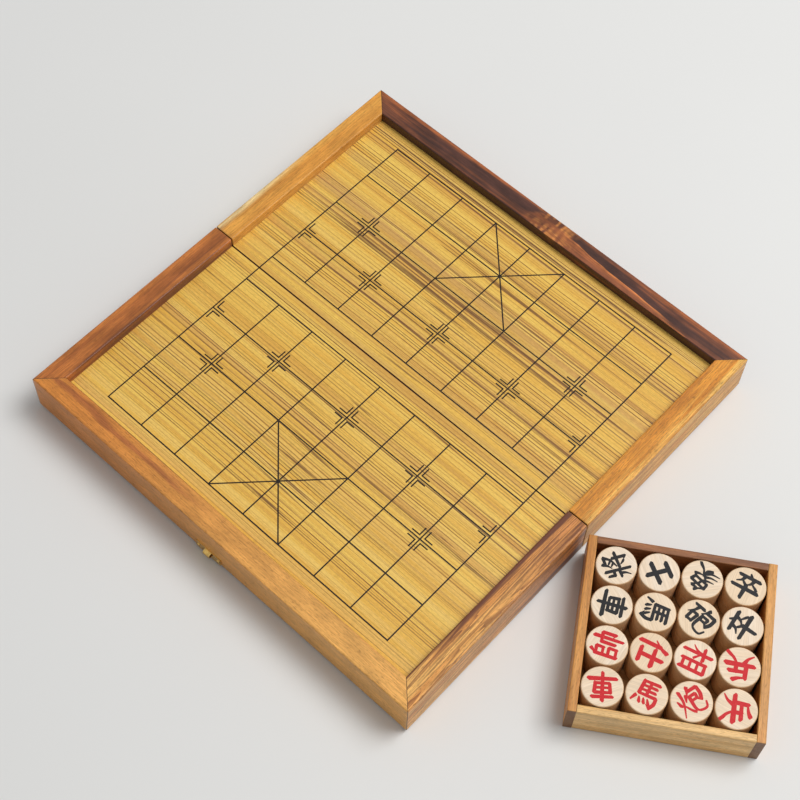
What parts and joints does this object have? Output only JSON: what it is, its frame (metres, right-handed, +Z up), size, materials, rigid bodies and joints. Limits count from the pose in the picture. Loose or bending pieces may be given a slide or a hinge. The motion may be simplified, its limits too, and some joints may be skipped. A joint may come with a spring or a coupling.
{
  "type": "xiangqi board box",
  "caption": "Wooden folding box whose outer faces make a xiangqi board, open flat, with a square tray of round wooden pieces beside it.",
  "frame": {"origin": "middle of the footprint of board and tray together, on the table", "axes": "+X along the fold towards the tray, +Y across the fold towards the back rail, +Z up"},
  "size_m": [0.4506, 0.3212, 0.0314],
  "materials": {
    "front_rail_wood": "oiled, satin, fine straight grain",
    "back_rail_wood": "oiled, satin, dark wavy figure",
    "red_rail_wood": "oiled, satin, reddish straight grain",
    "pale_rail_wood": "oiled, satin, honey-coloured straight grain",
    "figured_rail_wood": "oiled, satin, dark streaks on gold",
    "golden_rail_wood": "oiled, satin, fine golden grain",
    "inside_wood": "sanded, matte",
    "panel_ply": "thin plywood, matte",
    "striped_veneer": "lacquered, satin, brown stripes along the fold",
    "tray_wood": "oiled, satin, straight grain",
    "piece_wood": "sanded, waxed, pale close grain",
    "brass": "pressed sheet brass, slightly dulled",
    "brass_pins": "drawn brass wire, slightly dulled",
    "line_ink": "black-brown ink in the scored lines, matte",
    "black_paint": "black enamel, satin",
    "red_paint": "red enamel, satin"
  },
  "bodies": {
    "half_a": {"front_rail_a": "front_rail_wood", "left_rail_a": "red_rail_wood", "right_rail_a": "figured_rail_wood", "seam_wall_a": "inside_wood", "panel_a": "panel_ply", "veneer_a": "striped_veneer", "hinge_left_leaf_a": "brass", "hinge_right_leaf_a": "brass", "hinge_pins": "brass_pins", "screws_a": "brass_pins", "catch_plate": "brass"},
    "half_b": {"back_rail_b": "back_rail_wood", "left_rail_b": "pale_rail_wood", "right_rail_b": "golden_rail_wood", "seam_wall_b": "inside_wood", "panel_b": "panel_ply", "veneer_b": "striped_veneer", "hinge_left_leaf_b": "brass", "hinge_right_leaf_b": "brass", "screws_b": "brass_pins", "hasp_plate": "brass", "hasp_pin": "brass_pins"},
    "hasp": {"hasp_flap": "brass"},
    "tray": {"tray_left_wall": "tray_wood", "tray_right_wall": "tray_wood", "tray_front_wall": "tray_wood", "tray_back_wall": "tray_wood", "tray_bottom": "panel_ply"},
    "black_general": {"black_general": "piece_wood"},
    "black_advisor_1": {"black_advisor_1": "piece_wood"},
    "black_elephant_1": {"black_elephant_1": "piece_wood"},
    "black_soldier_1": {"black_soldier_1": "piece_wood"},
    "black_chariot_1": {"black_chariot_1": "piece_wood"},
    "black_horse_1": {"black_horse_1": "piece_wood"},
    "black_cannon_1": {"black_cannon_1": "piece_wood"},
    "black_soldier_2": {"black_soldier_2": "piece_wood"},
    "red_general": {"red_general": "piece_wood"},
    "red_advisor_1": {"red_advisor_1": "piece_wood"},
    "red_elephant_1": {"red_elephant_1": "piece_wood"},
    "red_soldier_1": {"red_soldier_1": "piece_wood"},
    "red_chariot_1": {"red_chariot_1": "piece_wood"},
    "red_horse_1": {"red_horse_1": "piece_wood"},
    "red_cannon_1": {"red_cannon_1": "piece_wood"},
    "red_soldier_2": {"red_soldier_2": "piece_wood"},
    "black_advisor_2": {"black_advisor_2": "piece_wood"},
    "black_elephant_2": {"black_elephant_2": "piece_wood"},
    "black_chariot_2": {"black_chariot_2": "piece_wood"},
    "black_horse_2": {"black_horse_2": "piece_wood"},
    "black_cannon_2": {"black_cannon_2": "piece_wood"},
    "black_soldier_3": {"black_soldier_3": "piece_wood"},
    "black_soldier_4": {"black_soldier_4": "piece_wood"},
    "black_soldier_5": {"black_soldier_5": "piece_wood"},
    "red_advisor_2": {"red_advisor_2": "piece_wood"},
    "red_elephant_2": {"red_elephant_2": "piece_wood"},
    "red_chariot_2": {"red_chariot_2": "piece_wood"},
    "red_horse_2": {"red_horse_2": "piece_wood"},
    "red_cannon_2": {"red_cannon_2": "piece_wood"},
    "red_soldier_3": {"red_soldier_3": "piece_wood"},
    "red_soldier_4": {"red_soldier_4": "piece_wood"},
    "red_soldier_5": {"red_soldier_5": "piece_wood"}
  },
  "joints": [
    {"name": "fold", "type": "hinge", "parent": "half_a", "child": "half_b", "pos_m": [-0.07526, -0.00685, 0.00125], "axis": [-1, 0, 0], "range_deg": [0, 180]},
    {"name": "hasp_hinge", "type": "hinge", "parent": "half_b", "child": "hasp", "pos_m": [-0.07926, 0.14555, 0.00695], "axis": [1, 0, 0], "range_deg": [-64.64, 100.36]},
    {"name": "tray_lift", "type": "slide", "parent": "half_a", "child": "tray", "axis": [0, 0, 1], "range_m": [0, 0.1]},
    {"name": "black_general_lift", "type": "slide", "parent": "tray", "child": "black_general", "axis": [0, 0, 1], "range_m": [0, 0.06]},
    {"name": "black_advisor_2_lift", "type": "slide", "parent": "tray", "child": "black_advisor_2", "axis": [0, 0, 1], "range_m": [0, 0.03]},
    {"name": "black_advisor_1_lift", "type": "slide", "parent": "tray", "child": "black_advisor_1", "axis": [0, 0, 1], "range_m": [0, 0.06]},
    {"name": "black_elephant_2_lift", "type": "slide", "parent": "tray", "child": "black_elephant_2", "axis": [0, 0, 1], "range_m": [0, 0.03]},
    {"name": "black_elephant_1_lift", "type": "slide", "parent": "tray", "child": "black_elephant_1", "axis": [0, 0, 1], "range_m": [0, 0.06]},
    {"name": "black_chariot_2_lift", "type": "slide", "parent": "tray", "child": "black_chariot_2", "axis": [0, 0, 1], "range_m": [0, 0.03]},
    {"name": "black_soldier_1_lift", "type": "slide", "parent": "tray", "child": "black_soldier_1", "axis": [0, 0, 1], "range_m": [0, 0.06]},
    {"name": "black_horse_2_lift", "type": "slide", "parent": "tray", "child": "black_horse_2", "axis": [0, 0, 1], "range_m": [0, 0.03]},
    {"name": "black_chariot_1_lift", "type": "slide", "parent": "tray", "child": "black_chariot_1", "axis": [0, 0, 1], "range_m": [0, 0.06]},
    {"name": "black_cannon_2_lift", "type": "slide", "parent": "tray", "child": "black_cannon_2", "axis": [0, 0, 1], "range_m": [0, 0.03]},
    {"name": "black_horse_1_lift", "type": "slide", "parent": "tray", "child": "black_horse_1", "axis": [0, 0, 1], "range_m": [0, 0.06]},
    {"name": "black_soldier_3_lift", "type": "slide", "parent": "tray", "child": "black_soldier_3", "axis": [0, 0, 1], "range_m": [0, 0.03]},
    {"name": "black_cannon_1_lift", "type": "slide", "parent": "tray", "child": "black_cannon_1", "axis": [0, 0, 1], "range_m": [0, 0.06]},
    {"name": "black_soldier_4_lift", "type": "slide", "parent": "tray", "child": "black_soldier_4", "axis": [0, 0, 1], "range_m": [0, 0.03]},
    {"name": "black_soldier_2_lift", "type": "slide", "parent": "tray", "child": "black_soldier_2", "axis": [0, 0, 1], "range_m": [0, 0.06]},
    {"name": "black_soldier_5_lift", "type": "slide", "parent": "tray", "child": "black_soldier_5", "axis": [0, 0, 1], "range_m": [0, 0.03]},
    {"name": "red_general_lift", "type": "slide", "parent": "tray", "child": "red_general", "axis": [0, 0, 1], "range_m": [0, 0.06]},
    {"name": "red_advisor_2_lift", "type": "slide", "parent": "tray", "child": "red_advisor_2", "axis": [0, 0, 1], "range_m": [0, 0.03]},
    {"name": "red_advisor_1_lift", "type": "slide", "parent": "tray", "child": "red_advisor_1", "axis": [0, 0, 1], "range_m": [0, 0.06]},
    {"name": "red_elephant_2_lift", "type": "slide", "parent": "tray", "child": "red_elephant_2", "axis": [0, 0, 1], "range_m": [0, 0.03]},
    {"name": "red_elephant_1_lift", "type": "slide", "parent": "tray", "child": "red_elephant_1", "axis": [0, 0, 1], "range_m": [0, 0.06]},
    {"name": "red_chariot_2_lift", "type": "slide", "parent": "tray", "child": "red_chariot_2", "axis": [0, 0, 1], "range_m": [0, 0.03]},
    {"name": "red_soldier_1_lift", "type": "slide", "parent": "tray", "child": "red_soldier_1", "axis": [0, 0, 1], "range_m": [0, 0.06]},
    {"name": "red_horse_2_lift", "type": "slide", "parent": "tray", "child": "red_horse_2", "axis": [0, 0, 1], "range_m": [0, 0.03]},
    {"name": "red_chariot_1_lift", "type": "slide", "parent": "tray", "child": "red_chariot_1", "axis": [0, 0, 1], "range_m": [0, 0.06]},
    {"name": "red_cannon_2_lift", "type": "slide", "parent": "tray", "child": "red_cannon_2", "axis": [0, 0, 1], "range_m": [0, 0.03]},
    {"name": "red_horse_1_lift", "type": "slide", "parent": "tray", "child": "red_horse_1", "axis": [0, 0, 1], "range_m": [0, 0.06]},
    {"name": "red_soldier_3_lift", "type": "slide", "parent": "tray", "child": "red_soldier_3", "axis": [0, 0, 1], "range_m": [0, 0.03]},
    {"name": "red_cannon_1_lift", "type": "slide", "parent": "tray", "child": "red_cannon_1", "axis": [0, 0, 1], "range_m": [0, 0.06]},
    {"name": "red_soldier_4_lift", "type": "slide", "parent": "tray", "child": "red_soldier_4", "axis": [0, 0, 1], "range_m": [0, 0.03]},
    {"name": "red_soldier_2_lift", "type": "slide", "parent": "tray", "child": "red_soldier_2", "axis": [0, 0, 1], "range_m": [0, 0.06]},
    {"name": "red_soldier_5_lift", "type": "slide", "parent": "tray", "child": "red_soldier_5", "axis": [0, 0, 1], "range_m": [0, 0.03]}
  ],
  "couplings": [
    {"joint": "black_advisor_2_lift", "follows": "black_general_lift", "ratio": 0.5},
    {"joint": "black_elephant_2_lift", "follows": "black_advisor_1_lift", "ratio": 0.5},
    {"joint": "black_chariot_2_lift", "follows": "black_elephant_1_lift", "ratio": 0.5},
    {"joint": "black_horse_2_lift", "follows": "black_soldier_1_lift", "ratio": 0.5},
    {"joint": "black_cannon_2_lift", "follows": "black_chariot_1_lift", "ratio": 0.5},
    {"joint": "black_soldier_3_lift", "follows": "black_horse_1_lift", "ratio": 0.5},
    {"joint": "black_soldier_4_lift", "follows": "black_cannon_1_lift", "ratio": 0.5},
    {"joint": "black_soldier_5_lift", "follows": "black_soldier_2_lift", "ratio": 0.5},
    {"joint": "red_advisor_2_lift", "follows": "red_general_lift", "ratio": 0.5},
    {"joint": "red_elephant_2_lift", "follows": "red_advisor_1_lift", "ratio": 0.5},
    {"joint": "red_chariot_2_lift", "follows": "red_elephant_1_lift", "ratio": 0.5},
    {"joint": "red_horse_2_lift", "follows": "red_soldier_1_lift", "ratio": 0.5},
    {"joint": "red_cannon_2_lift", "follows": "red_chariot_1_lift", "ratio": 0.5},
    {"joint": "red_soldier_3_lift", "follows": "red_horse_1_lift", "ratio": 0.5},
    {"joint": "red_soldier_4_lift", "follows": "red_cannon_1_lift", "ratio": 0.5},
    {"joint": "red_soldier_5_lift", "follows": "red_soldier_2_lift", "ratio": 0.5}
  ]
}
